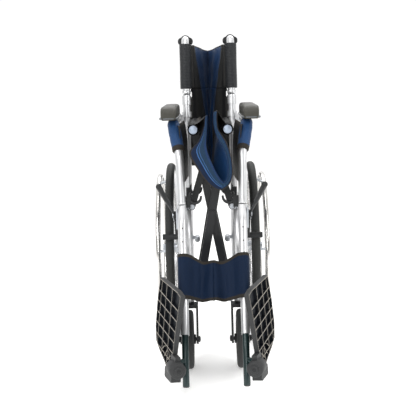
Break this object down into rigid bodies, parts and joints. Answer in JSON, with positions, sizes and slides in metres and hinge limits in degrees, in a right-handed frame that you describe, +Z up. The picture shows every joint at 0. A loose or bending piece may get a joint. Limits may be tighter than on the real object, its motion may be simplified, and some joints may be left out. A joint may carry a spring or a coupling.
{
  "type": "folding wheelchair",
  "caption": "Folding wheelchair shown collapsed: cross-braced side frames, spoked rear wheels with push rims, flip-up armrests and footplates.",
  "frame": {"origin": "on the floor, under the centre of the folded chair's bounding box", "axes": "+X to the right of someone who faces the chair, +Y towards the back of the chair, +Z up"},
  "size_m": [0.3208, 0.9325, 0.8985],
  "materials": {
    "frame": "satin silver",
    "steel": "zinc plated",
    "black_metal": "black powder coat",
    "black_plastic": "moulded",
    "vinyl_pad": "moulded vinyl skin",
    "upholstery": "coated nylon",
    "upholstery_blue": "coated nylon",
    "seat_fabric": "padded nylon",
    "grip": "moulded grip",
    "sleeve": "ribbed foam sleeve",
    "tyre": "solid tyre",
    "rim": "silver alloy rim",
    "spokes": "wire spokes and hub",
    "handrim": "satin",
    "caster_tyre": "solid tyre",
    "caster_hub": "moulded wheel",
    "footplate": "moulded composite",
    "strap": "nylon webbing"
  },
  "bodies": {
    "left_frame": {"side_frame_left": "frame", "rail_saddles_left": "black_plastic", "brake_bracket_left": "steel", "cane_fittings_left": "steel", "frame_bolts_left": "steel"},
    "armrest_left": {"armrest_tube_left": "frame", "arm_pad_left": "vinyl_pad", "side_panel_left": "upholstery"},
    "back_left": {"back_cane_left": "frame", "handgrip_left": "grip", "cane_sleeve_left": "sleeve"},
    "upper_fabric_left": {"back_upper_left": "upholstery_blue"},
    "lower_fabric_left": {"back_lower_left": "upholstery"},
    "brake_lever_body_left": {"brake_lever_left": "black_plastic"},
    "brake_shoe_body_left": {"brake_shoe_left": "black_plastic"},
    "fold_link_body_left": {"fold_link_left": "black_metal"},
    "wheel_left": {"tyre_left": "tyre", "rim_left": "rim", "hub_spokes_left": "spokes", "handrim_left": "handrim"},
    "caster_fork_body_left": {"caster_fork_left": "black_metal"},
    "caster_wheel_left": {"caster_tyre_left": "caster_tyre", "caster_hub_left": "caster_hub"},
    "footrest_left": {"footrest_tube_left": "black_metal"},
    "footplate_body_left": {"footplate_left": "footplate"},
    "strap_left": {"calf_strap_left": "strap"},
    "right_frame": {"side_frame_right": "frame", "rail_saddles_right": "black_plastic", "brake_bracket_right": "steel", "cane_fittings_right": "steel", "frame_bolts_right": "steel"},
    "armrest_right": {"armrest_tube_right": "frame", "arm_pad_right": "vinyl_pad", "side_panel_right": "upholstery"},
    "back_right": {"back_cane_right": "frame", "handgrip_right": "grip", "cane_sleeve_right": "sleeve"},
    "upper_fabric_right": {"back_upper_right": "upholstery_blue"},
    "lower_fabric_right": {"back_lower_right": "upholstery"},
    "brake_lever_body_right": {"brake_lever_right": "black_plastic"},
    "brake_shoe_body_right": {"brake_shoe_right": "black_plastic"},
    "fold_link_body_right": {"fold_link_right": "black_metal"},
    "wheel_right": {"tyre_right": "tyre", "rim_right": "rim", "hub_spokes_right": "spokes", "handrim_right": "handrim"},
    "caster_fork_body_right": {"caster_fork_right": "black_metal"},
    "caster_wheel_right": {"caster_tyre_right": "caster_tyre", "caster_hub_right": "caster_hub"},
    "footrest_right": {"footrest_tube_right": "black_metal"},
    "footplate_body_right": {"footplate_right": "footplate"},
    "strap_right": {"calf_strap_right": "strap"},
    "brace_a_body": {"brace_a": "black_metal", "brace_bolts": "steel", "rail_caps_a": "black_plastic", "seat_right": "seat_fabric"},
    "brace_b_body": {"brace_b": "black_metal", "rail_caps_b": "black_plastic", "seat_left": "seat_fabric"}
  },
  "joints": [
    {"name": "fold", "type": "hinge", "parent": "left_frame", "child": "brace_a_body", "pos_m": [-0.044, 0.0453, 0.164], "axis": [0, 1, 0], "range_deg": [0, 42.14], "deforming": ["seat_right", "seat_left"]},
    {"name": "cross", "type": "hinge", "parent": "brace_a_body", "child": "brace_b_body", "pos_m": [0, 0.0453, 0.398], "axis": [0, 1, 0], "range_deg": [-84.38, 0]},
    {"name": "unfold_right", "type": "hinge", "parent": "brace_b_body", "child": "right_frame", "pos_m": [0.044, 0.0453, 0.164], "axis": [0, 1, 0], "range_deg": [0, 42.24]},
    {"name": "fold_link_left", "type": "hinge", "parent": "left_frame", "child": "fold_link_body_left", "pos_m": [-0.054, -0.0607, 0.4179], "axis": [0, 1, 0], "range_deg": [0, 92.3]},
    {"name": "armrest_flip_left", "type": "hinge", "parent": "left_frame", "child": "armrest_left", "pos_m": [-0.098, 0.1983, 0.642], "axis": [1, 0, 0], "range_deg": [-90, 0]},
    {"name": "back_fold_left", "type": "hinge", "parent": "left_frame", "child": "back_left", "pos_m": [-0.0675, 0.2425, 0.7145], "axis": [1, 0, 0], "range_deg": [-90, 0], "deforming": ["back_upper_left"]},
    {"name": "upper_fabric_spread_left", "type": "slide", "parent": "back_left", "child": "upper_fabric_left", "axis": [0.631, -0.7758, 0], "range_m": [0, 0.23174]},
    {"name": "lower_fabric_spread_left", "type": "slide", "parent": "left_frame", "child": "lower_fabric_left", "axis": [0.631, -0.7758, 0], "range_m": [0, 0.23174]},
    {"name": "strap_spread_left", "type": "slide", "parent": "left_frame", "child": "strap_left", "axis": [1, 0, 0], "range_m": [0, 0.1466]},
    {"name": "brake_left", "type": "hinge", "parent": "left_frame", "child": "brake_lever_body_left", "pos_m": [-0.0985, -0.1397, 0.408], "axis": [1, 0, 0], "range_deg": [-50, 0]},
    {"name": "brake_shoe_turn_left", "type": "hinge", "parent": "left_frame", "child": "brake_shoe_body_left", "pos_m": [-0.0985, -0.0897, 0.392], "axis": [1, 0, 0], "range_deg": [-15.1, 0]},
    {"name": "wheel_spin_left", "type": "hinge", "parent": "left_frame", "child": "wheel_left", "pos_m": [-0.119, 0.2103, 0.256], "axis": [1, 0, 0], "continuous": true},
    {"name": "caster_swivel_left", "type": "hinge", "parent": "left_frame", "child": "caster_fork_body_left", "pos_m": [-0.068, -0.1277, 0.2], "axis": [0, 0, 1], "range_deg": [-240, 60]},
    {"name": "caster_spin_left", "type": "hinge", "parent": "caster_fork_body_left", "child": "caster_wheel_left", "pos_m": [-0.068, -0.1647, 0.078], "axis": [1, 0, 0], "continuous": true},
    {"name": "footrest_height_left", "type": "slide", "parent": "left_frame", "child": "footrest_left", "axis": [-0.0114, 0.5164, 0.8563], "range_m": [0, 0.05]},
    {"name": "footplate_flip_left", "type": "hinge", "parent": "footrest_left", "child": "footplate_body_left", "pos_m": [-0.08573, -0.43631, 0.07569], "axis": [-0.309, 0.9511, 0], "range_deg": [0, 8]},
    {"name": "fold_link_right", "type": "hinge", "parent": "right_frame", "child": "fold_link_body_right", "pos_m": [0.054, -0.0607, 0.4179], "axis": [0, 1, 0], "range_deg": [-92.3, 0]},
    {"name": "armrest_flip_right", "type": "hinge", "parent": "right_frame", "child": "armrest_right", "pos_m": [0.098, 0.1983, 0.642], "axis": [1, 0, 0], "range_deg": [-90, 0]},
    {"name": "back_fold_right", "type": "hinge", "parent": "right_frame", "child": "back_right", "pos_m": [0.0675, 0.2425, 0.7145], "axis": [1, 0, 0], "range_deg": [-90, 0], "deforming": ["back_upper_right"]},
    {"name": "upper_fabric_spread_right", "type": "slide", "parent": "back_right", "child": "upper_fabric_right", "axis": [-0.631, -0.7758, 0], "range_m": [0, 0.23174]},
    {"name": "lower_fabric_spread_right", "type": "slide", "parent": "right_frame", "child": "lower_fabric_right", "axis": [-0.631, -0.7758, 0], "range_m": [0, 0.23174]},
    {"name": "strap_spread_right", "type": "slide", "parent": "right_frame", "child": "strap_right", "axis": [-1, 0, 0], "range_m": [0, 0.1466]},
    {"name": "brake_right", "type": "hinge", "parent": "right_frame", "child": "brake_lever_body_right", "pos_m": [0.0985, -0.1397, 0.408], "axis": [1, 0, 0], "range_deg": [-50, 0]},
    {"name": "brake_shoe_turn_right", "type": "hinge", "parent": "right_frame", "child": "brake_shoe_body_right", "pos_m": [0.0985, -0.0897, 0.392], "axis": [1, 0, 0], "range_deg": [-15.1, 0]},
    {"name": "wheel_spin_right", "type": "hinge", "parent": "right_frame", "child": "wheel_right", "pos_m": [0.119, 0.2103, 0.256], "axis": [1, 0, 0], "continuous": true},
    {"name": "caster_swivel_right", "type": "hinge", "parent": "right_frame", "child": "caster_fork_body_right", "pos_m": [0.068, -0.1277, 0.2], "axis": [0, 0, 1], "range_deg": [-60, 240]},
    {"name": "caster_spin_right", "type": "hinge", "parent": "caster_fork_body_right", "child": "caster_wheel_right", "pos_m": [0.068, -0.1647, 0.078], "axis": [1, 0, 0], "continuous": true},
    {"name": "footrest_height_right", "type": "slide", "parent": "right_frame", "child": "footrest_right", "axis": [0.0114, 0.5164, 0.8563], "range_m": [0, 0.05]},
    {"name": "footplate_flip_right", "type": "hinge", "parent": "footrest_right", "child": "footplate_body_right", "pos_m": [0.08573, -0.43631, 0.07569], "axis": [0.309, 0.9511, 0], "range_deg": [-8, 0]}
  ],
  "couplings": [
    {"joint": "cross", "follows": "fold", "ratio": -2},
    {"joint": "unfold_right", "follows": "fold", "ratio": 1},
    {"joint": "fold_link_left", "follows": "fold", "ratio": 2.1857},
    {"joint": "upper_fabric_spread_left", "follows": "fold", "m_per_rad": 0.31372},
    {"joint": "lower_fabric_spread_left", "follows": "fold", "m_per_rad": 0.31372},
    {"joint": "strap_spread_left", "follows": "fold", "m_per_rad": 0.19797},
    {"joint": "brake_shoe_turn_left", "follows": "brake_left", "ratio": 0.3},
    {"joint": "fold_link_right", "follows": "fold", "ratio": -2.1857},
    {"joint": "upper_fabric_spread_right", "follows": "fold", "m_per_rad": 0.31372},
    {"joint": "lower_fabric_spread_right", "follows": "fold", "m_per_rad": 0.31372},
    {"joint": "strap_spread_right", "follows": "fold", "m_per_rad": 0.19797},
    {"joint": "brake_shoe_turn_right", "follows": "brake_right", "ratio": 0.3},
    {"joint": "back_fold_right", "follows": "back_fold_left", "ratio": 1}
  ]
}
